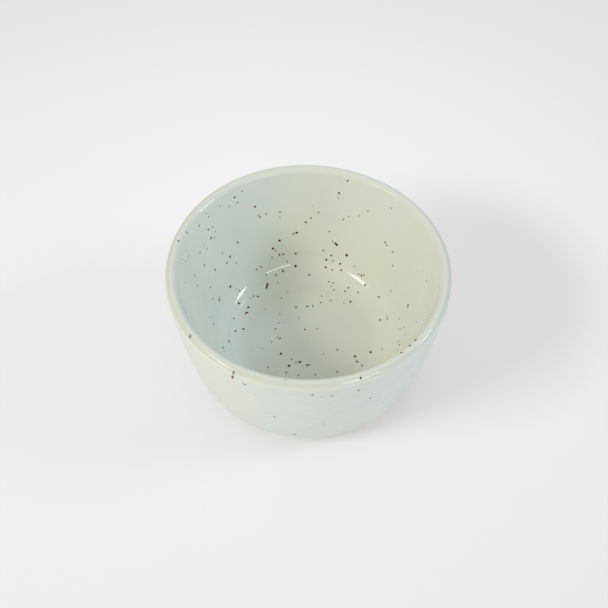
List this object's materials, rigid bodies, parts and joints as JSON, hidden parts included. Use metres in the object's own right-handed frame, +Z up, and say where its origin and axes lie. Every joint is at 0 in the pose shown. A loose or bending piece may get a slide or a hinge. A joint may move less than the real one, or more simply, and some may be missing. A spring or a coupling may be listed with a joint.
{
  "type": "ramekin",
  "caption": "Small round stoneware ramekin with a rolled lip, tapered wall and foot ring, glazed pale grey-green with brown specks, for baking and serving.",
  "frame": {"origin": "centre of the circle that the foot ring stands on", "axes": "+Z up along the pot's axis; X and Y are any two directions across it, because the pot is round"},
  "size_m": [0.095, 0.095, 0.05],
  "materials": {
    "bare_stoneware": "fired buff stoneware, matt and slightly gritty",
    "gloss_glaze": "glossy pale grey-green glaze with dark brown iron specks",
    "satin_glaze": "satin pale grey-green glaze over fine throwing lines, with brown iron specks"
  },
  "bodies": {
    "root": {"stoneware_body": "bare_stoneware", "liner_glaze": "gloss_glaze", "outer_glaze": "satin_glaze"}
  },
  "joints": []
}
